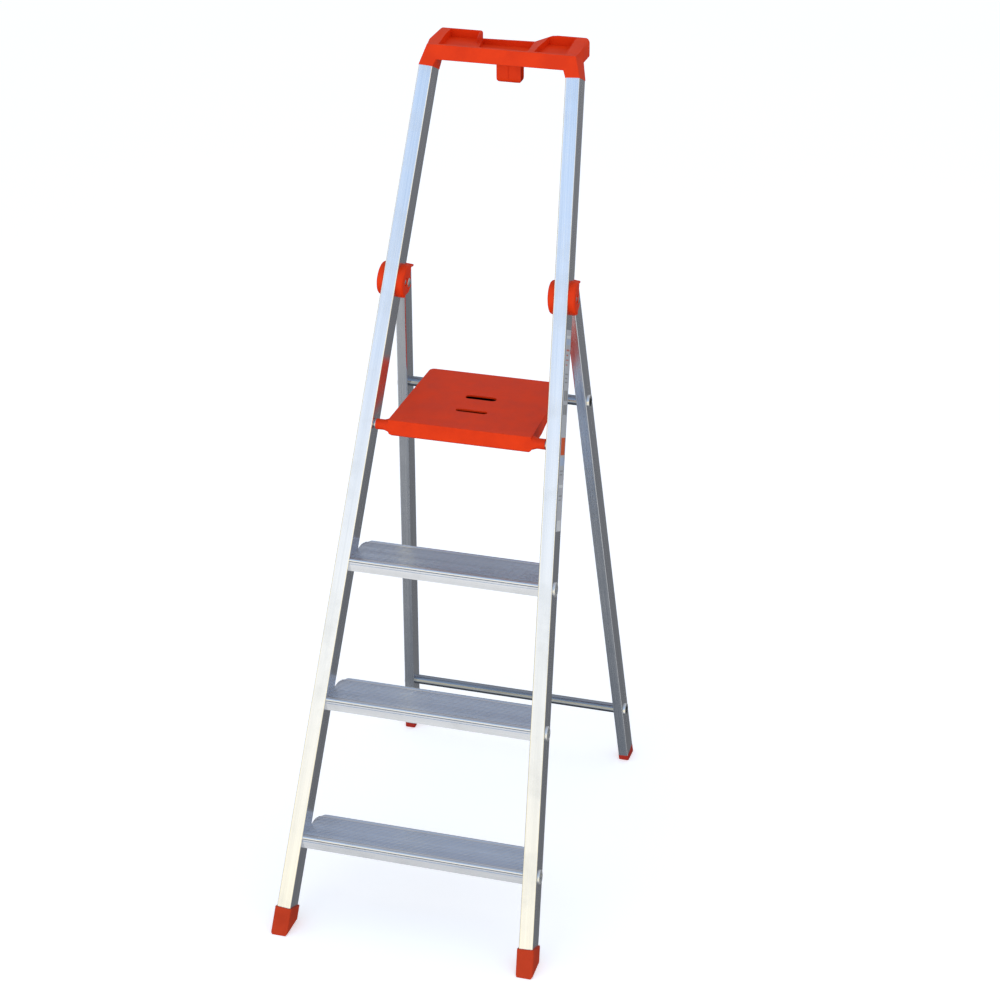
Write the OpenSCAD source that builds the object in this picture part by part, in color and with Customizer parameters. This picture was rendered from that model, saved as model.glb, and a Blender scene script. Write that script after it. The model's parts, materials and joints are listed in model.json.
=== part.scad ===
// Folding step stool: a leaning climbing frame with three treads, a hinged
// platform, a tool tray on top and a rear frame that folds in behind it.
// The climbing side faces -Y, +X is the right of a person facing the treads,
// and the origin is on the floor at the middle of the footprint.

/* [Climbing frame] */
// Lean of the climbing frame back from vertical, degrees
lean = 24; // [20:0.5:27]
// Tilt of each stile inwards, degrees
splay = 3.5; // [3.3:0.1:3.7]
// Half the distance between the stile centrelines at the floor
foot_half = 228; // [215:1:245]
// Width of a stile, across the ladder
stile_w = 25.5; // [22:0.5:30]
// Depth of a stile, from the climbing side to the rear
stile_d = 43; // [38:1:46]
// Outer corner radius of a stile
stile_corner = 2.5; // [1.5:0.5:5]
// Wall thickness of every aluminium tube
tube_wall = 1.5; // [1:0.1:2]
// Distance up the slope from the floor to the top of the stiles
stile_top = 1560; // [1550:1:1565]

/* [Treads] */
// Height of the top of the lowest tread
first_tread = 166; // [150:1:180]
// Height from one tread to the next
tread_rise = 230; // [220:1:240]
// Depth of a tread from nosing to rear edge
tread_d = 81; // [70:1:90]
// Height of the front lip of a tread
lip_h = 24; // [18:1:28]
// Thickness of the tread plate under its ribs
tread_plate = 2.4; // [1.8:0.1:3]
// Number of ribs along a tread
rib_count = 15; // [8:1:18]
// Radius of the rear corners of a tread in plan
tread_corner = 24; // [10:1:30]
// Outer radius of the tube ferrules that hold the treads
ferrule_r = 8.5; // [6:0.5:9]
// Radius of every swaged rim
rim_r = 13; // [11:0.5:14]

/* [Platform] */
// Height of the platform top
platform_z = 856; // [850:1:862]
// Depth of the platform from front edge to rear edge
platform_d = 236; // [230:1:240]
// Half the width of the platform at its front
platform_half = 131; // [126:1:132]
// Half the width of the platform at its rear
platform_rear_half = 127; // [120:1:128]
// Height of the platform's front apron
apron_h = 31.5; // [25:0.5:33]
// Thickness of the platform's plate and walls
platform_wall = 3.2; // [2.5:0.1:4]
// Length of the two hand slots
slot_len = 58; // [40:1:70]
// Radius of the front pivot bosses
boss_r = 9.5; // [9:0.5:11]
// Radius of the platform pivot pins
pivot_pin_r = 5; // [4:0.5:5.5]

/* [Rear frame] */
// Lean of the rear frame forward from vertical, degrees
rear_lean = 10.7; // [9:0.1:12]
// Tilt of each rear leg inwards, degrees
rear_splay = 3.6; // [3.4:0.1:3.8]
// Width of a rear leg, across the ladder
leg_w = 19; // [16:0.5:19]
// Depth of a rear leg
leg_d = 38; // [33:1:39]
// Distance from the hinge down the leg to the upper rung
upper_rung_drop = 219.4; // [218:0.2:221]
// Distance from the hinge down the leg to the lower rung
lower_rung_drop = 949.5; // [946:0.5:955]
// Outer radius of the two rungs
rung_r = 9.2; // [8.5:0.1:9.5]

/* [Hinge] */
// Distance up the slope from the floor to the hinge
hinge_s = 1183; // [1178:1:1188]
// Distance of the hinge behind the front face of the stiles
hinge_d = 76; // [75:1:80]
// Distance of a rear leg's centreline behind its hinge
leg_back = 7; // [6:0.5:8]
// Radius of the hinge pins
hinge_pin_r = 5; // [4:0.5:6]
// Radius of the round cheeks on both sides of a stile
cheek_r = 30; // [29:0.5:32]
// Thickness of the round cheeks
cheek_t = 12; // [11:0.5:13]

/* [Crown] */
// Height of the front rim of the tool tray
tray_z = 1459; // [1455:1:1462]
// Height of the raised rear corners above the front rim
raised_wall = 7; // [4:1:10]
// Half the width of the tray
tray_half = 139; // [137:1:142]
// Depth of the tray from front edge to rear edge
tray_d = 84; // [78:1:90]
// Thickness of the front and rear walls of the tray
crown_wall = 4; // [3:0.5:5]
// Width of the bucket hook
hook_w = 44; // [36:1:50]

/* [Feet] */
// Wall thickness of the front shoes
shoe_wall = 2.7; // [2:0.1:4]
// Length of the front shoes up the stile
shoe_len = 50; // [40:1:60]
// Height of the rear feet below the tube end
rear_foot_h = 15; // [12:1:24]

/* [Hidden] */

$fn = 64;
cut = 1;            // overshoot of a cutting shape past a face
gap = 0.4;          // clearance between pieces that move
fit = 0.05;         // running clearance of a pin, on the radius
left = -1;
right = 1;

// Front face of the stiles where it meets the floor, so that the footprint is centred
front_y = -386.6;
// Hinge axis
hinge_y = front_y + hinge_s * sin(lean) + hinge_d * cos(lean);
hinge_z = hinge_s * cos(lean) - hinge_d * sin(lean);
hinge_half = foot_half - hinge_s * tan(splay);
// Platform axis, just below its plate and behind its front edge
platform_y = front_at(platform_z) + 2;
boss_y = platform_y + boss_r;
boss_z = platform_z - 14.5;
boss_half = inner_half(boss_z, boss_y) - 3.4;
// Height and place of a rung a distance down the legs' centrelines
function rung_y(drop) = hinge_y + drop * sin(rear_lean) + leg_back * cos(rear_lean);
function rung_z(drop) = hinge_z - drop * cos(rear_lean) + leg_back * sin(rear_lean);
// Ferrule axis, behind and below the front top edge of its tread
ferrule_back = 17.5;
ferrule_down = 15.5;
channel_r = 10.2;
// Depth of the part of a bracket behind the stile, and its inner room for the leg
bracket_room = 10.6;
bracket_wall = 2.9;

// Y of the stiles' front face at a height
function front_at(z) = front_y + z * tan(lean);
// Half the clear width between the stiles at a point above the floor
function inner_half(z, y) =
    foot_half - stile_w / 2 / cos(splay)
    - ((y - front_y) * sin(lean) + z * cos(lean)) * tan(splay);
// Distance up the slope, and behind the front face, of a point above the floor
function slope_s(y, z) = (y - front_y) * sin(lean) + z * cos(lean);
function slope_d(y, z) = (y - front_y) * cos(lean) - z * sin(lean);

module only_side(side) mirror([side < 0 ? 1 : 0, 0, 0]) children();
// Axes of the climbing frame: y behind its front face, z up the slope
module climbing_plane() translate([0, front_y, 0]) rotate([-lean, 0, 0]) children();
// Axes of one stile: x outwards from its centreline, y rearward, z up the stile
module stile_axes(side)
    climbing_plane() only_side(side) translate([foot_half, 0, 0]) rotate([0, -splay, 0]) children();
// Axes of one rear leg: z up its centreline, with the hinge at 0
module leg_axes(side)
    translate([0, hinge_y, hinge_z]) rotate([rear_lean, 0, 0])
        only_side(side) translate([hinge_half, leg_back, 0]) rotate([0, -rear_splay, 0]) children();
// A level axis outwards through the platform's pivot on one side
module platform_axis(side)
    translate([0, boss_y, boss_z]) only_side(side) rotate([0, 90, 0]) children();
// A level axis outwards through the hinge of one side
module hinge_axis(side)
    translate([0, hinge_y, hinge_z]) only_side(side) translate([hinge_half, 0, 0])
        rotate([0, 90, 0]) children();

// Rectangle with round corners, from a corner at the origin
module round_rect(w, d, r) {
    translate([r, 0]) square([w - 2 * r, d]);
    translate([0, r]) square([w, d - 2 * r]);
    for (x = [r, w - r], y = [r, d - r]) translate([x, y]) circle(r);
}
// The same rectangle centred in x, its y starting at 0
module tube_section(w, d, r) translate([-w / 2, 0]) round_rect(w, d, r);
module tube(w, d, r, len) linear_extrude(height = len) difference() {
    tube_section(w, d, r);
    translate([0, tube_wall]) tube_section(w - 2 * tube_wall, d - 2 * tube_wall, r - tube_wall / 2);
}
// Section of a plug that fills such a tube
module plug_section(w, d, r) translate([0, tube_wall + 0.1])
    tube_section(w - 2 * tube_wall - 0.2, d - 2 * tube_wall - 0.2, r - tube_wall / 2);
// Everything outside the inner face of a stile
module outside_of_stile(side)
    stile_axes(side) translate([-stile_w / 2, -100, -50]) cube([300, 400, stile_top + 200]);

// ---- Climbing frame ----
stile_start = 27;
bracket_s = hinge_s / cos(splay);
tread_z = [first_tread, first_tread + tread_rise, first_tread + 2 * tread_rise];
// Place of a ferrule up its stile and behind the stile's front face
function ferrule_s(z) = slope_s(front_at(z) + ferrule_back, z - ferrule_down) / cos(splay);
ferrule_d = slope_d(front_at(100) + ferrule_back, 100 - ferrule_down);
stile_end = stile_top / cos(splay);
crown_rivet_s = stile_end - 14;

module stile(side) color("silver") difference() {
    stile_axes(side) translate([0, 0, stile_start])
        tube(stile_w, stile_d, stile_corner, stile_end - stile_start);
    for (z = tread_z) stile_axes(side) translate([-stile_w, ferrule_d, ferrule_s(z)])
        rotate([0, 90, 0]) cylinder(r = ferrule_r, h = 2 * stile_w);
    platform_axis(side) translate([0, 0, boss_half]) cylinder(r = pivot_pin_r, h = 60);
    stile_axes(side) translate([0, stile_d - 5, crown_rivet_s]) rotate([-90, 0, 0])
        cylinder(r = 2.4, h = 10);
    bracket_rivet_axis(side) cylinder(r = bracket_rivet_r, h = 2 * stile_w, center = true);
}

// Section of a tread: x is rearward from the nosing, y is up from the tread top
module tread_section() {
    rib_pitch = (tread_d - 16) / rib_count;
    nosing_r = 3.6;
    difference() {
        union() {
            translate([nosing_r, -tread_plate - 1]) square([tread_d - nosing_r, tread_plate]);
            for (i = [0 : rib_count - 1]) translate([9 + i * rib_pitch, -1.4])
                square([rib_pitch / 2, 1.4]);
            translate([nosing_r, -nosing_r]) circle(nosing_r);
            translate([nosing_r + 0.3, -2]) square([4, 2]);
            translate([1.4, -lip_h]) square([2.2, lip_h - nosing_r]);
            translate([0.5, -lip_h + 3]) square([2, lip_h - 13]);
            translate([1.4, -lip_h]) square([9, 1.8]);
            translate([tread_d - 2.2, -15]) square([2.2, 13]);
            translate([tread_d - 8, -15]) square([8, 1.8]);
            translate([tread_d - 2.5, -2.5]) circle(2.5);
            translate([ferrule_back, -ferrule_down]) circle(channel_r + 1.8);
            translate([tread_d - 26, -12]) square([2, 11]);
        }
        translate([ferrule_back, -ferrule_down]) circle(channel_r);
    }
}
module tread(z) color("lightgray") difference() {
    translate([-240, front_at(z), z]) rotate([90, 0, 90]) linear_extrude(height = 480)
        tread_section();
    for (side = [left, right]) {
        outside_of_stile(side);
        only_side(side) tread_corner_cut(z);
    }
}
// What is cut away to round the rear corner of a tread in plan
module tread_corner_cut(z) {
    y = front_at(z) + tread_d - tread_corner;
    translate([inner_half(z, y) - tread_corner, y, z - 60]) linear_extrude(height = 70)
        difference() {
            square(tread_corner + 5);
            circle(tread_corner);
        }
}

// Hollow ferrule with its swaged rim outside the stile
module ferrule(side, z) color("gainsboro")
    stile_axes(side) translate([0, ferrule_d, ferrule_s(z)]) rotate([0, 90, 0]) difference() {
        union() {
            translate([0, 0, -stile_w / 2 - 9]) cylinder(r = ferrule_r, h = stile_w + 10);
            translate([0, 0, stile_w / 2]) swaged_rim(rim_r);
        }
        translate([0, 0, -stile_w]) cylinder(r = ferrule_r - 1.8, h = 2 * stile_w);
    }
module swaged_rim(r) {
    cylinder(r = r - 1.3, h = 2.6);
    cylinder(r = r, h = 1.3);
    translate([0, 0, 1.3]) rotate_extrude() translate([r - 1.3, 0]) circle(1.3);
}

// Front shoe: a sleeve with a level sole and small chamfers along its lower edges
module shoe(side) color("orangered") difference() {
    intersection() {
        stile_axes(side) translate([0, -shoe_wall, -40])
            linear_extrude(height = shoe_len + 40)
                tube_section(stile_w + 2 * shoe_wall, stile_d + 2 * shoe_wall, stile_corner + 1);
        shoe_side_outline();
        only_side(side) shoe_front_outline();
    }
    stile_axes(side) translate([0, 0, stile_start]) linear_extrude(height = 200)
        tube_section(stile_w, stile_d, stile_corner);
}
module shoe_side_outline() {
    heel = front_y + (stile_d + shoe_wall) / cos(lean);
    translate([-300, 0, 0]) rotate([90, 0, 90]) linear_extrude(height = 600) polygon([
        [front_y - 40, 200], [front_y - 40, 2.5], [front_y - 6, 2.5], [front_y - 1.5, 0],
        [heel - 4, 0], [heel + 5, 6], [heel + 60, 6], [heel + 60, 200]]);
}
module shoe_front_outline() {
    outer = foot_half + stile_w / 2 + shoe_wall;
    inner = foot_half - stile_w / 2 - shoe_wall;
    translate([0, 200, 0]) rotate([90, 0, 0]) linear_extrude(height = 900) polygon([
        [inner - 30, 200], [inner - 30, 4], [inner - 1, 4], [inner + 3, 0],
        [outer - 4, 0], [outer + 1, 5], [outer + 40, 5], [outer + 40, 200]]);
}

module label_strip() color("whitesmoke") stile_axes(right)
    translate([stile_w / 2, 6, 781]) cube([0.4, stile_d - 12, 350]);

// ---- Crown ----
// The tray stands level; its front edge lies on the front face of the stiles
crown_front = front_at(tray_z) - 0.6;
tray_base = tray_z - 22;
crown_front_half = 134;
apron_s = 1571.5;
rim_drop = 7;       // the rear rim is this much lower between the raised corners
tray_margin = 24;
recess_d = tray_d - 6 - crown_wall;
module crown_tray() color("orangered") difference() {
    union() {
        intersection() {
            translate([0, crown_front, tray_base]) linear_extrude(height = 60) crown_plan();
            crown_top();
        }
        crown_apron();
        for (side = [left, right]) crown_leg(side);
    }
    // Recesses left, middle and right: both front corners, both rear corners and depth
    for (p = [[tray_margin - tray_half, -50, -62, tray_margin - tray_half, 8],
              [-45, 45, 38, -56, 17],
              [58, tray_half - tray_margin, tray_half - tray_margin, 65, 8]])
        translate([0, crown_front + 6, tray_z - p[4]]) linear_extrude(height = 60)
            polygon([[p[0], 0], [p[1], 0], [p[2], recess_d], [p[3], recess_d]]);
    for (side = [left, right]) stile_axes(side) translate([0, stile_d - 8, crown_rivet_s])
        rotate([-90, 0, 0]) cylinder(r = 2.4, h = 20);
}
module crown_plan() {
    polygon([for (side = [right, left], i = (side > 0 ? [0, 1, 2, 3] : [3, 2, 1, 0]))
        [side * [crown_front_half, tray_half, tray_half, tray_half - 8][i],
         [0, 40, tray_d - 8, tray_d][i]]]);
    for (side = [left, right]) translate([side * (tray_half - 8), tray_d - 8]) circle(8);
}
// Everything under the top of the tray: the front rim, and behind it the two raised
// corners with the low rim between them
module crown_top() {
    translate([-200, crown_front - cut, tray_base - cut]) cube([400, 9 + cut, 22 + cut]);
    intersection() {
        translate([0, crown_front + tray_d + cut, tray_z]) rotate([90, 0, 0])
            linear_extrude(height = tray_d - 8 + cut) corner_outline();
        translate([-200, crown_front, tray_z]) rotate([90, 0, 90]) linear_extrude(height = 400)
            polygon([[8, -30], [8, 0], [tray_d - 12, raised_wall + 2],
                     [tray_d + 5, raised_wall + 2], [tray_d + 5, -30]]);
    }
}
// Rear view of the tray: a step down from the left corner and a ramp up to the right one
module corner_outline() {
    translate([-tray_half, -40]) round_rect(60, 39 + raised_wall, 10);
    translate([-tray_half + 20, -40]) round_rect(tray_half - 77, 39 + raised_wall, 4);
    translate([70, -40]) round_rect(tray_half - 70, 41 + raised_wall, 10);
    polygon([[-60, -40], [-60, -rim_drop - 1], [38, -rim_drop + 1], [70, raised_wall],
             [82, raised_wall + 1], [82, -40]]);
}
module crown_apron() intersection() {
    climbing_plane() translate([0, 3.4, 0]) rotate([90, 0, 0]) linear_extrude(height = 4)
        for (m = [0, 1]) mirror([m, 0]) polygon([
            [0, apron_s], [116.4, apron_s], [118, apron_s - 0.8], [118.8, apron_s - 2.4],
            [119.4, stile_top - 0.5], [145.4, stile_top + 1],
            [crown_front_half, apron_s + 26], [crown_front_half, 1640], [0, 1640]]);
    translate([-200, front_y, 0]) cube([400, 1000, tray_z]);
}
// Lower end of the crown: as wide as the stile, narrowing up to the tray, with a spigot
module crown_leg(side) {
    hull() {
        stile_axes(side) translate([0, -0.6, stile_end]) linear_extrude(height = 1)
            tube_section(stile_w + 1.2, stile_d + 1.2, stile_corner);
        only_side(side) translate([0, crown_front - 9, tray_base]) linear_extrude(height = 2)
            polygon([[114, 0], [140.4, 0], [tray_half, 46], [114, 46]]);
        only_side(side) translate([114, crown_front, tray_z - 1])
            cube([crown_front_half - 114, 8, 1]);
    }
    stile_axes(side) translate([0, 0, stile_end - 38]) linear_extrude(height = 39)
        plug_section(stile_w, stile_d, stile_corner);
}
// Hook under the tray, open to the rear
module bucket_hook() color("orangered") {
    turn = 11;
    thick = 4;
    height = 37;
    translate([4.5 - hook_w / 2, crown_front + 32, tray_base - height]) difference() {
        intersection() {
            rotate([90, 0, 90]) linear_extrude(height = hook_w) {
                square([thick, height]);
                translate([2 * turn - thick, 0]) square([thick, 14]);
                translate([2 * turn - thick / 2, 14]) circle(thick / 2);
                intersection() {
                    difference() {
                        translate([turn, 0]) circle(turn);
                        translate([turn, 0]) circle(turn - thick);
                    }
                    translate([0, -turn]) square([2 * turn, turn]);
                }
            }
            // Front view, with round lower corners
            translate([0, 50, -turn]) rotate([90, 0, 0]) linear_extrude(height = 100) {
                round_rect(hook_w, height, 7);
                translate([0, height / 2]) square([hook_w, height]);
            }
        }
        // Groove down the middle of the front face
        translate([hook_w / 2 - 0.8, -cut, -turn]) cube([1.6, cut + 1, turn + height]);
    }
}
// Rivet through the rear face of a stile into the crown's spigot
module crown_rivet(side) color("silver")
    stile_axes(side) translate([0, stile_d, crown_rivet_s]) rotate([90, 0, 0]) {
        cylinder(r = 2.4, h = 7);
        translate([0, 0, -1.8]) intersection() {
            cylinder(r = 4.5, h = 1.8);
            translate([0, 0, 6.7]) sphere(r = 6.7);
        }
    }

// ---- Hinge ----
bracket_web = 5.5;
roof_h = 30.5;
roof_t = 3.6;
cheek_mid = 31;      // distance of the middle of the cheeks behind the stile's front face
bracket_rivet_r = 3;
rivet_seat = stile_w / 2 + cheek_t - 2.6;
// Axis across a stile through the rivet that holds its bracket
module bracket_rivet_axis(side) stile_axes(side) translate([0, stile_d / 2, bracket_s])
    rotate([0, 90, 0]) children();
module bracket_rivet(side) color("silver") bracket_rivet_axis(side) {
    cylinder(r = bracket_rivet_r, h = 2 * rivet_seat, center = true);
    for (m = [0, 1]) mirror([0, 0, m]) translate([0, 0, rivet_seat]) intersection() {
        cylinder(r = 6, h = 2.2);
        translate([0, 0, 2.2 - 10]) sphere(r = 10);
    }
}
module hinge_bracket(side) color("orangered") difference() {
    stile_axes(side) translate([0, 0, bracket_s]) difference() {
        union() {
            for (m = [0, 1]) mirror([m, 0, 0]) bracket_cheek();
            translate([-bracket_room - bracket_wall, 0, 0]) rotate([90, 0, 90])
                linear_extrude(height = 2 * (bracket_room + bracket_wall)) bracket_outline();
        }
        // Room for the stile, and for the leg to swing behind it
        translate([0, 0, -60]) linear_extrude(height = 120)
            tube_section(stile_w, stile_d, stile_corner);
        translate([-bracket_room, stile_d + bracket_web, -60])
            cube([2 * bracket_room, 80, 60 + roof_h]);
    }
    hinge_axis(side) {
        translate([0, 0, -40]) cylinder(r = hinge_pin_r, h = 80);
        for (m = [0, 1]) mirror([0, 0, m]) translate([0, 0, bracket_room + bracket_wall - 0.5])
            cylinder(r = 9.2, h = 20);
    }
    bracket_rivet_axis(side) {
        cylinder(r = bracket_rivet_r, h = 100, center = true);
        for (m = [0, 1]) mirror([0, 0, m]) translate([0, 0, rivet_seat]) cylinder(r = 7.4, h = 20);
    }
}
// One cheek, a thick round pad with a round edge that thins down behind the rivet
module bracket_cheek() intersection() {
    edge_r = 5;
    translate([stile_w / 2, cheek_mid, 2]) rotate([0, 90, 0]) rotate_extrude($fn = 96) {
        square([cheek_r, cheek_t - edge_r]);
        square([cheek_r - edge_r, cheek_t]);
        translate([cheek_r - edge_r, cheek_t - edge_r]) circle(edge_r);
    }
    translate([0, 0, -60]) linear_extrude(height = 120) polygon([[0, -5], [40, -5], [40, 20],
        [stile_w / 2 + cheek_t, stile_d / 2 + 9], [stile_w / 2 + 7.5, stile_d],
        [bracket_room + bracket_wall - 0.2, stile_d + 14], [0, stile_d + 14]]);
}
// Side view of the rear half: x is behind the stile's front face, y is above the hinge
module bracket_outline() {
    polygon([[stile_d - 4, -28], [stile_d - 4, roof_h + roof_t], [hinge_d + 8, roof_h + roof_t],
             [hinge_d + 8, roof_h], [hinge_d - 3, roof_h - 2], [hinge_d - 2, 16],
             [hinge_d + 13, -3], [hinge_d + 5, -16], [56, -28]]);
    translate([hinge_d, 0]) circle(10);
}
module hinge_pin(side) color("silver") hinge_axis(side) {
    seat = bracket_room + bracket_wall - 0.5;
    translate([0, 0, -seat]) cylinder(r = hinge_pin_r, h = 2 * seat);
    for (m = [0, 1]) mirror([0, 0, m]) translate([0, 0, seat]) intersection() {
        cylinder(r = 8.5, h = 3);
        translate([0, 0, 3 - 13.5]) sphere(r = 13.5);
    }
}

// ---- Platform ----
saddle_x = 88;
saddle_w = 26;
module platform_pin(side) color("silver") difference() {
    platform_axis(side) {
        translate([0, 0, boss_half - 22]) cylinder(r = pivot_pin_r, h = 70);
        translate([0, 0, boss_half + 0.5]) cylinder(r = 8, h = 2);
    }
    stile_axes(side) translate([stile_w / 2, -50, 0]) cube([100, 200, stile_top]);
}
// Plan of the platform drawn in from its edge by a wall: x across, y rearward
module platform_plan(wall) difference() {
    r = 9 - wall;
    polygon([[-platform_half + wall, wall], [platform_half - wall, wall],
             [platform_rear_half - wall, platform_d - wall],
             [-platform_rear_half + wall, platform_d - wall]]);
    for (side = [left, right]) only_side(side)
        translate([platform_rear_half - wall - r, platform_d - wall - r]) difference() {
            square(r + 1);
            circle(r);
        }
}
module platform_shell() intersection() {
    difference() {
        translate([0, 0, -apron_h]) linear_extrude(height = apron_h) platform_plan(0);
        translate([0, 0, -apron_h - cut]) linear_extrude(height = apron_h - platform_wall + cut)
            platform_plan(platform_wall);
    }
    // Side view: the skirts rise towards the rear, and the rear wall hangs behind the rung
    translate([-200, 0, 0]) rotate([90, 0, 90]) linear_extrude(height = 400) polygon([
        [0, 0], [0, -apron_h + 4], [4, -apron_h], [45, -apron_h], [175, -10],
        [platform_d - 8, -10], [platform_d - 6, -15], [platform_d, -15], [platform_d, 0]]);
    // Front view: the lower corners are cut off
    translate([0, 300, -apron_h]) rotate([90, 0, 0]) linear_extrude(height = 400) polygon([
        [6 - platform_half, 0], [platform_half - 6, 0], [platform_half, 6],
        [platform_half, 50], [-platform_half, 50], [-platform_half, 6]]);
}
slot_front_y = 75;
slot_rear_y = 134;
slots = [[slot_front_y, 11], [slot_rear_y, 16]];
module slot_plan(w) translate([-slot_len / 2, -w / 2]) round_rect(slot_len, w, w / 2 - 0.1);
module platform_ribs() difference() {
    translate([0, 0, -12]) linear_extrude(height = 10) {
        for (x = [-84, -42, 42, 84]) translate([x - 1.2, 2]) square([2.4, 188]);
        for (y = [40, 104, 165]) translate([-128, y - 1.2]) square([256, 2.4]);
    }
    for (side = [left, right]) only_side(side) translate([platform_half - 1, 0, -20])
        rotate([0, 0, 0.97]) cube([20, 300, 30]);
}
module platform() color("orangered") difference() {
    union() {
        translate([0, platform_y, platform_z]) {
            platform_shell();
            platform_ribs();
        }
        for (side = [left, right]) platform_axis(side) {
            translate([0, 0, platform_half - 14]) cylinder(r = boss_r, h = boss_half - platform_half + 14);
            intersection() {
                translate([0, 0, platform_half - 4]) cylinder(r1 = 14, r2 = boss_r, h = 13);
                translate([-20, -boss_r, 0]) cube([40, 40, 400]);
            }
        }
        for (x = [-saddle_x, saddle_x])
            translate([x - saddle_w / 2, rung_y(upper_rung_drop), rung_z(upper_rung_drop)])
                rotate([90, 0, 90]) linear_extrude(height = saddle_w) saddle();
    }
    for (s = slots) translate([0, platform_y + s[0], platform_z - 30]) linear_extrude(height = 40)
        slot_plan(s[1]);
    for (side = [left, right]) platform_axis(side) translate([0, 0, boss_half - 24])
        cylinder(r = pivot_pin_r + fit, h = 40);
}
// Saddle over the upper rung, with a hook behind it: x rearward, y up from the rung
module saddle() difference() {
    polygon([[-15, 18], [-15, 10], [-7.4, 6.2], [6, -3], [14.5, -3], [16, 18]]);
    circle(rung_r + gap);
}

// ---- Rear frame ----
leg_top = 12;
leg_floor = (hinge_z + leg_back * sin(rear_lean)) / cos(rear_lean) / cos(rear_splay);
leg_end = leg_floor - rear_foot_h;
leg_rim = 12.5;
leg_corner = 2;
module rung_axis(side, drop) translate([0, rung_y(drop), rung_z(drop)])
    only_side(side) rotate([0, 90, 0]) children();
module rear_leg(side) color("silver") difference() {
    leg_axes(side) translate([0, -leg_d / 2, -leg_end])
        tube(leg_w, leg_d, leg_corner, leg_end + leg_top);
    for (drop = [upper_rung_drop, lower_rung_drop]) rung_axis(side, drop)
        cylinder(r = rung_r, h = 400);
    hinge_axis(side) translate([0, 0, -30]) cylinder(r = hinge_pin_r + fit, h = 60);
}
module leg_insert(side) color("dimgray") difference() {
    leg_axes(side) translate([0, -leg_d / 2, -26]) linear_extrude(height = 26 + leg_top)
        plug_section(leg_w, leg_d, leg_corner);
    hinge_axis(side) translate([0, 0, -30]) cylinder(r = hinge_pin_r + fit, h = 60);
}
module rung(drop) color("silver") difference() {
    union() for (side = [left, right]) {
        difference() {
            rung_axis(side, drop) cylinder(r = rung_r, h = 300);
            leg_axes(side) translate([leg_w / 2 + 2, -60, -leg_floor]) cube([200, 120, leg_floor]);
        }
        leg_axes(side) translate([leg_w / 2, 0, -drop / cos(rear_splay)]) rotate([0, 90, 0])
            swaged_rim(leg_rim);
    }
    translate([-300, 0, 0]) rung_axis(right, drop) cylinder(r = rung_r - tube_wall, h = 600);
}
module rear_foot(side) color("orangered") intersection() {
    leg_axes(side) union() {
        translate([0, -leg_d / 2 - 0.5, -leg_floor - 20])
            linear_extrude(height = rear_foot_h + 20) tube_section(leg_w + 1, leg_d + 1, 3);
        translate([0, -leg_d / 2, -leg_end - 1]) linear_extrude(height = 26)
            plug_section(leg_w, leg_d, leg_corner);
    }
    translate([-300, -300, 0]) cube([600, 1000, 300]);
}

stile(left);  // stile_left
stile(right);  // stile_right
tread(tread_z[0]);  // tread_lower
tread(tread_z[1]);  // tread_middle
tread(tread_z[2]);  // tread_upper
ferrule(left, tread_z[0]);  // ferrule_lower_left
ferrule(right, tread_z[0]);  // ferrule_lower_right
ferrule(left, tread_z[1]);  // ferrule_middle_left
ferrule(right, tread_z[1]);  // ferrule_middle_right
ferrule(left, tread_z[2]);  // ferrule_upper_left
ferrule(right, tread_z[2]);  // ferrule_upper_right
shoe(left);  // shoe_left
shoe(right);  // shoe_right
crown_tray();
bucket_hook();
crown_rivet(left);  // crown_rivet_left
crown_rivet(right);  // crown_rivet_right
hinge_bracket(left);  // hinge_bracket_left
hinge_bracket(right);  // hinge_bracket_right
bracket_rivet(left);  // bracket_rivet_left
bracket_rivet(right);  // bracket_rivet_right
hinge_pin(left);  // hinge_pin_left
hinge_pin(right);  // hinge_pin_right
platform_pin(left);  // platform_pin_left
platform_pin(right);  // platform_pin_right
label_strip();
platform();
rear_leg(left);  // rear_leg_left
rear_leg(right);  // rear_leg_right
leg_insert(left);  // leg_insert_left
leg_insert(right);  // leg_insert_right
rung(upper_rung_drop);  // rung_upper
rung(lower_rung_drop);  // rung_lower
rear_foot(left);  // rear_foot_left
rear_foot(right);  // rear_foot_right
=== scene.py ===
"""Looks of a folding step stool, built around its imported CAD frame.

The aluminium pieces are the CAD nodes themselves. The plastic mouldings are copies of
their nodes with rounded edges, and the label strip is a film with blank printed blocks.
"""
import json
import math

import bmesh
import bpy
from mathutils import Matrix, Vector

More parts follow.
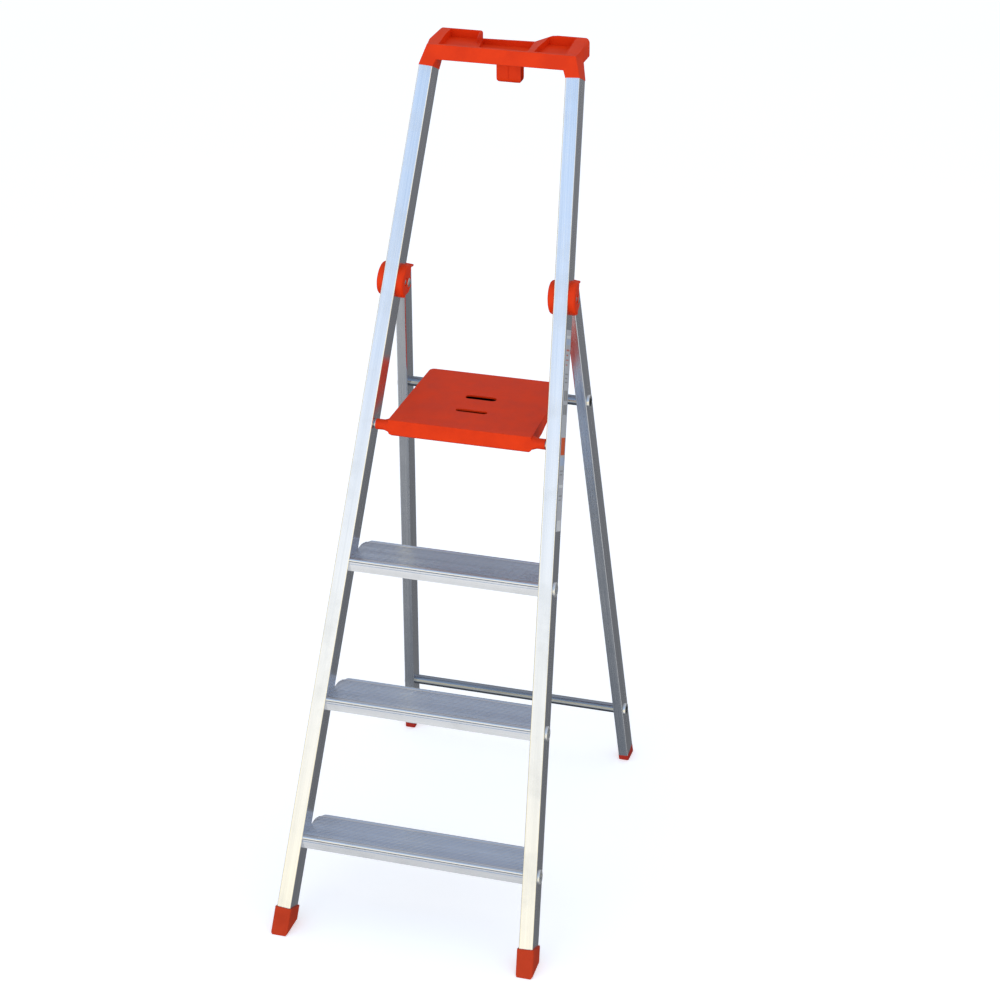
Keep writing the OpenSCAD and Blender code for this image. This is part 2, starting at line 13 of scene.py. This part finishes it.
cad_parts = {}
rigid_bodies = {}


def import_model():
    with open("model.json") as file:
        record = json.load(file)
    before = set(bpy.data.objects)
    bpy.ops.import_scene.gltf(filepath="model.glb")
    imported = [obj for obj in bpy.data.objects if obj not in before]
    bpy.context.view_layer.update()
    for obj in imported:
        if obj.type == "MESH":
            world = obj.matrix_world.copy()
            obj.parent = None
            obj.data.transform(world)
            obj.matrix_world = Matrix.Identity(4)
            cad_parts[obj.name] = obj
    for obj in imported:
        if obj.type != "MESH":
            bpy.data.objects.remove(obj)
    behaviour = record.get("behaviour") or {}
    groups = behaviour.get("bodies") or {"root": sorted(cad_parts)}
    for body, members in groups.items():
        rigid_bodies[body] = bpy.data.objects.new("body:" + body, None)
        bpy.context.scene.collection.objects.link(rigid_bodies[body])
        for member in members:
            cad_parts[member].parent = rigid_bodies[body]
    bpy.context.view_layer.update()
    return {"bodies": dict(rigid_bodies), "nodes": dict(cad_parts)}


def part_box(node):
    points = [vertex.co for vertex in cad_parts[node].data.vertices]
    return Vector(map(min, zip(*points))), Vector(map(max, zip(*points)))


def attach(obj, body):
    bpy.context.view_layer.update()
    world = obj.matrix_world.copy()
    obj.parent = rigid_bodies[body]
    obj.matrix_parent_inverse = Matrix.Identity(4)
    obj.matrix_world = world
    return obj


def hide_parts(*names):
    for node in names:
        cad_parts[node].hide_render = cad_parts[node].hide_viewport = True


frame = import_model()
nodes = frame["nodes"]
scene = bpy.context.scene

# Angles of the frame, in degrees, as the CAD has them
LEAN = 24.0
REAR_LEAN = 10.7
SPLAY = 3.5
LEFT, RIGHT = -1, 1
ACROSS = (1, 0, 0)


# ---------------------------------------------------------------- node helpers
# Sockets of a Mix node that mixes colours
MIX_FACTOR, MIX_A, MIX_B, MIX_RESULT = 0, 6, 7, 2


class Tree:
    """The node tree of a material or a world, with short calls for its usual nodes."""

    def __init__(self, owner):
        owner.use_nodes = True
        self.owner = owner
        self.nodes = owner.node_tree.nodes
        self.links = owner.node_tree.links

    def node(self, kind, settings=None, **sockets):
        made = self.nodes.new("ShaderNode" + kind)
        for key, value in (settings or {}).items():
            setattr(made, key, value)
        self.fill(made, sockets)
        return made

    def fill(self, node, sockets):
        for key, value in sockets.items():
            self.put(node.inputs[key.replace("_", " ")], value)

    def put(self, socket, value):
        if isinstance(value, bpy.types.NodeSocket):
            self.links.new(value, socket)
        else:
            socket.default_value = value

    def position(self, turn=(0, 0, 0), scale=(1, 1, 1)):
        """Object coordinates, turned and then stretched."""
        where = self.node("TexCoord").outputs["Object"]
        turned = self.node("Mapping", Vector=where, Rotation=turn)
        return self.node("Mapping", Vector=turned.outputs[0], Scale=scale).outputs[0]

    def noise(self, where, scale, detail=2.0, rough=0.5):
        made = self.node("TexNoise", Vector=where, Scale=scale, Detail=detail, Roughness=rough)
        return made.outputs["Fac"]

    def span(self, value, low, high, start=0.0, end=1.0, curve="LINEAR"):
        """value carried from [start, end] to [low, high]."""
        made = self.node("MapRange", {"interpolation_type": curve}, Value=value,
                         From_Min=start, From_Max=end, To_Min=low, To_Max=high)
        return made.outputs[0]

    def math(self, operation, a, b=0.0):
        made = self.node("Math", {"operation": operation})
        self.put(made.inputs[0], a)
        self.put(made.inputs[1], b)
        return made.outputs[0]

    def blend(self, a, b, share):
        """a and b added in the shares 1 - share and share."""
        return self.math("ADD", self.math("MULTIPLY", a, 1.0 - share),
                         self.math("MULTIPLY", b, share))

    def mix(self, factor, a, b):
        """Colour a where factor is 0, and colour b where it is 1."""
        made = self.node("Mix", {"data_type": "RGBA"})
        self.put(made.inputs[MIX_FACTOR], factor)
        for socket, colour in ((MIX_A, a), (MIX_B, b)):
            self.put(made.inputs[socket], (*colour, 1.0) if isinstance(colour, tuple) else colour)
        return made.outputs[MIX_RESULT]

    def ramp(self, value, stops):
        """Colour of a value from -1 to 1, eased between (value, colour) stops."""
        made = self.node("ValToRGB", Fac=self.span(value, 0.0, 1.0, -1.0, 1.0))
        band = made.color_ramp
        band.interpolation = "EASE"
        while len(band.elements) < len(stops):
            band.elements.new(0.5)
        for element, (place, colour) in zip(band.elements, stops):
            element.position = (place + 1) / 2
            element.color = (*colour, 1)
        return made.outputs[0]

    def finish(self, shader, **sockets):
        self.fill(self.nodes[shader], sockets)
        return self.owner


# ---------------------------------------------------------------- materials
NOISE = (0.35, 0.65)            # the values that most of a noise lies between
FINE_STREAKS = (900, 900, 4)    # how often they change in a metre, across, across and along
BROAD_STREAKS = (60, 60, 1.2)
RIM_DEPTH = 0.004               # how far a rung's rim reaches inwards, in metres


def along(direction):
    """Rotation that carries a direction onto Z, for streaks along a tube."""
    return tuple(Vector(direction).rotation_difference(Vector((0, 0, 1))).to_euler())


def aluminium(name, direction, dark, light, rough=(0.18, 0.30), rim=None):
    """Metal with fine streaks along a direction, broad ones, and rubbed marks.

    rim is a distance from the middle and the tone of the metal past it.
    """
    t = Tree(bpy.data.materials.new(name))
    turn = along(direction)
    streak = t.noise(t.position(turn, FINE_STREAKS), 1.0, 3.0, 0.6)
    broad = t.noise(t.position(turn, BROAD_STREAKS), 1.0)
    marks = t.noise(t.position(), 14.0, 5.0, 0.62)
    colour = t.mix(t.span(t.blend(streak, broad, 0.55), 0.0, 1.0, *NOISE), dark, light)
    rubbed = tuple(0.8 * c for c in dark)
    colour = t.mix(t.span(marks, 0.0, 0.35, 0.52, 0.75), colour, rubbed)
    if rim:
        reach, tone = rim
        x = t.node("SeparateXYZ", Vector=t.position()).outputs["X"]
        colour = t.mix(t.math("GREATER_THAN", t.math("ABSOLUTE", x), reach), colour, tone)
    roughness = t.span(t.blend(streak, marks, 0.5), *rough, *NOISE)
    normal = t.node("Bump", Height=streak, Distance=0.00006, Strength=0.6).outputs[0]
    return t.finish("Principled BSDF", Base_Color=colour, Metallic=1.0, Roughness=roughness,
                    Normal=normal)


def plastic(name, deep, bright, rough=(0.42, 0.55), grain=1500.0, depth=0.00008):
    """Moulded plastic with a fine grain, its tone blotched between deep and bright."""
    t = Tree(bpy.data.materials.new(name))
    where = t.position()
    fine = t.noise(where, grain)
    blotch = t.noise(where, 22.0, 4.0, 0.6)
    colour = t.mix(t.span(blotch, 0.0, 1.0, 0.35, 0.68), deep, bright)
    roughness = t.span(t.blend(fine, blotch, 0.6), *rough, *NOISE)
    normal = t.node("Bump", Height=fine, Distance=depth, Strength=0.5).outputs[0]
    return t.finish("Principled BSDF", Base_Color=colour, Roughness=roughness, Normal=normal,
                    Specular_IOR_Level=0.14)


def tube_axes(lean, side):
    """Outwards, rearward and up, as columns, of a tube that leans back and tilts inwards."""
    return (Matrix.Rotation(-math.radians(lean), 3, "X")
            @ Matrix.Rotation(-side * math.radians(SPLAY), 3, "Y"))


def tube(name, lean, side):
    """Bare extruded metal, streaked along a stile or a leg."""
    return aluminium("aluminium_" + name, tube_axes(lean, side).col[2],
                     (0.66, 0.68, 0.72), (0.80, 0.81, 0.84))


def rung(name):
    """Dark rung metal, lighter at the swaged rims outside the legs."""
    rim_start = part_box(name)[1].x - RIM_DEPTH
    return aluminium("aluminium_" + name, ACROSS, (0.24, 0.26, 0.29), (0.34, 0.36, 0.39),
                     rim=(rim_start, (0.86, 0.86, 0.85)))


orange = plastic("orange_plastic", (0.73, 0.036, 0.003), (0.83, 0.045, 0.004))
steel = aluminium("steel", ACROSS, (0.58, 0.58, 0.58), (0.70, 0.70, 0.69))

# The material of each CAD node whose name starts so; the rest are orange
looks = {
    "stile_left": tube("stile_left", LEAN, LEFT),
    "stile_right": tube("stile_right", LEAN, RIGHT),
    "rear_leg_left": tube("leg_left", -REAR_LEAN, LEFT),
    "rear_leg_right": tube("leg_right", -REAR_LEAN, RIGHT),
    "rung_upper": rung("rung_upper"),
    "rung_lower": rung("rung_lower"),
    "tread": aluminium("aluminium_tread", ACROSS, (0.59, 0.61, 0.66), (0.71, 0.73, 0.77)),
    "ferrule": aluminium("aluminium_rim", ACROSS, (0.86, 0.86, 0.85), (0.94, 0.94, 0.93),
                         (0.40, 0.55)),
    "shoe": plastic("shoe_plastic", (0.48, 0.036, 0.009), (0.57, 0.047, 0.013), (0.5, 0.65)),
    "rear_foot": plastic("foot_plastic", (0.34, 0.020, 0.014), (0.42, 0.028, 0.018),
                         (0.5, 0.65)),
    "leg_insert": plastic("dark_plastic", (0.010, 0.010, 0.011), (0.02, 0.02, 0.021)),
    "crown_rivet": steel,
    "bracket_rivet": steel,
    "hinge_pin": steel,
    "platform_pin": steel,
}

for name, piece in nodes.items():
    look = next((made for start, made in looks.items() if name.startswith(start)), orange)
    piece.data.materials.clear()
    piece.data.materials.append(look)


# ---------------------------------------------------------------- mouldings
# Radius of the rounded edges of each moulding, in metres
ROUNDING = {
    "crown_tray": 0.0011, "bucket_hook": 0.0009, "platform": 0.0008,
    "hinge_bracket_left": 0.0008, "hinge_bracket_right": 0.0008,
    "shoe_left": 0.0020, "shoe_right": 0.0020,
    "rear_foot_left": 0.0010, "rear_foot_right": 0.0010,
}
WELD = 0.00001          # joins the corners that the CAD mesh repeats
FLAT = 1.0              # degrees between faces that are one flat face
BEND = 32.0             # degrees between faces from which an edge is rounded


def body_of(node):
    """The name of the CAD body that a node is on."""
    return next(body for body, made in frame["bodies"].items() if nodes[node].parent is made)


def moulding(name, radius):
    """A piece in place of a CAD node: the same shape with its edges rounded."""
    mesh = nodes[name].data.copy()
    b = bmesh.new()
    b.from_mesh(mesh)
    bmesh.ops.remove_doubles(b, verts=b.verts, dist=WELD)
    bmesh.ops.dissolve_limit(b, angle_limit=math.radians(FLAT), verts=b.verts, edges=b.edges)
    for face in b.faces:
        face.smooth = True
    b.to_mesh(mesh)
    b.free()
    piece = bpy.data.objects.new(name + "_moulding", mesh)
    scene.collection.objects.link(piece)
    bevel = piece.modifiers.new("edges", "BEVEL")
    bevel.width = radius
    bevel.segments = 3
    bevel.limit_method = "ANGLE"
    bevel.angle_limit = math.radians(BEND)
    bevel.miter_outer = "MITER_ARC"
    even = piece.modifiers.new("even", "WEIGHTED_NORMAL")
    even.weight = 100
    even.keep_sharp = True
    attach(piece, body_of(name))
    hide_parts(name)


for name, radius in ROUNDING.items():
    moulding(name, radius)


# ---------------------------------------------------------------- label
SHADES = {
    "film": (0.54, 0.56, 0.62), "white": (0.78, 0.80, 0.84), "pale_blue": (0.46, 0.56, 0.76),
    "red": (0.60, 0.20, 0.17), "orange": (0.72, 0.11, 0.03), "grey": (0.30, 0.31, 0.33),
}
# Blank blocks on the film: shade, then top and bottom as shares of the film's height,
# then front and back as shares of its width
BLOCKS = [
    ("white", 0.028, 0.042, 0.06, 0.94), ("pale_blue", 0.046, 0.074, 0.06, 0.94),
    ("red", 0.096, 0.105, 0.12, 0.82), ("red", 0.122, 0.128, 0.12, 0.60),
    ("red", 0.146, 0.152, 0.12, 0.74), ("red", 0.170, 0.176, 0.12, 0.52),
    ("grey", 0.216, 0.222, 0.12, 0.80), ("grey", 0.236, 0.242, 0.12, 0.66),
    ("grey", 0.256, 0.262, 0.12, 0.74), ("grey", 0.300, 0.350, 0.12, 0.46),
    ("grey", 0.300, 0.350, 0.54, 0.88), ("grey", 0.370, 0.420, 0.12, 0.46),
    ("grey", 0.370, 0.420, 0.54, 0.88), ("orange", 0.533, 0.620, 0.05, 0.95),
    ("pale_blue", 0.632, 0.672, 0.05, 0.95), ("grey", 0.696, 0.702, 0.12, 0.80),
    ("grey", 0.714, 0.720, 0.12, 0.70), ("white", 0.768, 0.782, 0.05, 0.95),
    ("grey", 0.820, 0.826, 0.12, 0.84), ("grey", 0.840, 0.846, 0.12, 0.66),
    ("white", 0.945, 0.996, 0.05, 0.95),
]
INK = 0.00006           # height of a block above the film, in metres


def slab(b, corners, shade):
    """A closed box between four corners and the same four further out."""
    v = [b.verts.new(corner) for corner in corners]
    for face in ((0, 1, 2, 3), (7, 6, 5, 4), (0, 4, 5, 1), (1, 5, 6, 2), (2, 6, 7, 3),
                 (3, 7, 4, 0)):
        b.faces.new([v[i] for i in face]).material_index = shade


def label():
    """A film down the side of the right stile, with blank printed blocks."""
    axes = tube_axes(LEAN, RIGHT)
    corners = [axes.transposed() @ v.co for v in nodes["label_strip"].data.vertices]
    low, high = ([pick(c[i] for c in corners) for i in range(3)] for pick in (min, max))
    wide, tall = high[1] - low[1], high[2] - low[2]
    order = list(SHADES)
    b = bmesh.new()
    for shade, top, bottom, front, back in [("film", 0, 1, 0, 1)] + BLOCKS:
        outside = high[0] + (0 if shade == "film" else INK)
        outline = [(low[1] + y * wide, high[2] - z * tall)
                   for y, z in ((front, top), (back, top), (back, bottom), (front, bottom))]
        slab(b, [axes @ Vector((x, y, z)) for x in (low[0], outside) for y, z in outline],
             order.index(shade))
    bmesh.ops.recalc_face_normals(b, faces=b.faces)
    mesh = bpy.data.meshes.new("label_film")
    b.to_mesh(mesh)
    b.free()
    for shade, tone in SHADES.items():
        deep = tuple(0.88 * c for c in tone)
        mesh.materials.append(plastic("label_" + shade, deep, tone, (0.38, 0.52), 900.0, 0.00003))
    piece = bpy.data.objects.new("label_film", mesh)
    scene.collection.objects.link(piece)
    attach(piece, "front_frame")
    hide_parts("label_strip")


label()


# ---------------------------------------------------------------- stage
# Brightness round the object by height, as (height of a direction, colour)
FRONT_LIGHT = [
    (-0.78, (0.14, 0.16, 0.19)), (-0.48, (1.20, 1.20, 1.18)), (0.10, (1.55, 1.36, 0.86)),
    (0.27, (1.38, 1.36, 1.30)), (0.44, (0.62, 0.86, 1.22)), (0.95, (0.5, 0.62, 0.8)),
]
REAR_LIGHT = [
    (-0.5, (0.17, 0.176, 0.188)), (-0.05, (0.30, 0.305, 0.32)), (0.1, (0.46, 0.47, 0.49)),
    (0.45, (0.52, 0.53, 0.57)), (0.95, (0.6, 0.65, 0.75)),
]
FRONT_END = 0.35        # the two lights run together this far each side of the middle
# Soft lamps: name, place, diameter and power
LAMPS = [("key", (-1.2, -3.6, 3.2), 2.6, 14), ("top", (0.4, 0.6, 4.0), 3.0, 10)]
AIM = Vector((0, 0, 0.7))
CAMERA_PLACE = (1.258, -3.987, 2.814)
CAMERA_TURN = (16.55, 26.667, -0.25)    # degrees to the left, downwards and about the view
CAMERA_LENS = 95.1
FLOOR_RADIUS = 30
FLOOR_GLOW = ((1, 0.975, 0.95, 1), 0.44)    # colour and strength


def add_floor():
    """A plain pale floor, seen by the camera alone, that takes the object's shadow."""
    bpy.ops.mesh.primitive_circle_add(vertices=96, radius=FLOOR_RADIUS, fill_type="NGON")
    floor = bpy.context.object
    floor.name = "floor"
    t = Tree(bpy.data.materials.new("floor"))
    tone = t.mix(t.span(t.noise(t.position(), 0.8), 0.0, 1.0), (0.86,) * 3, (0.9,) * 3)
    colour, strength = FLOOR_GLOW
    floor.data.materials.append(t.finish(
        "Principled BSDF", Base_Color=tone, Roughness=0.9, Emission_Color=colour,
        Emission_Strength=strength))
    floor.visible_glossy = False
    floor.visible_diffuse = False


def add_world():
    """Bright and warm in front of the object, dim behind it."""
    t = Tree(bpy.data.worlds.new("studio"))
    where = t.node("TexCoord").outputs["Generated"]
    axes = t.node("SeparateXYZ", Vector=where).outputs
    behind = t.span(axes["Y"], 0.0, 1.0, -FRONT_END, FRONT_END, "SMOOTHSTEP")
    light = t.mix(behind, t.ramp(axes["Z"], FRONT_LIGHT), t.ramp(axes["Z"], REAR_LIGHT))
    scene.world = t.finish("Background", Color=light, Strength=1.0)


def add_lamp(name, place, size, power):
    lamp = bpy.data.lights.new(name, "AREA")
    lamp.shape = "DISK"
    lamp.size = size
    lamp.energy = power
    light = bpy.data.objects.new(name, lamp)
    scene.collection.objects.link(light)
    light.location = place
    light.visible_glossy = False
    light.rotation_euler = (AIM - Vector(place)).to_track_quat("-Z", "Y").to_euler()


def add_camera():
    data = bpy.data.cameras.new("camera")
    data.sensor_width = 36
    data.lens = CAMERA_LENS
    camera = bpy.data.objects.new("camera", data)
    scene.collection.objects.link(camera)
    yaw, pitch, roll = (math.radians(angle) for angle in CAMERA_TURN)
    camera.matrix_world = (
        Matrix.Translation(CAMERA_PLACE) @ Matrix.Rotation(yaw, 4, "Z")
        @ Matrix.Rotation(math.pi / 2 - pitch, 4, "X") @ Matrix.Rotation(roll, 4, "Z"))
    scene.camera = camera


add_floor()
add_world()
for lamp in LAMPS:
    add_lamp(*lamp)
add_camera()
scene.view_settings.view_transform = "Standard"
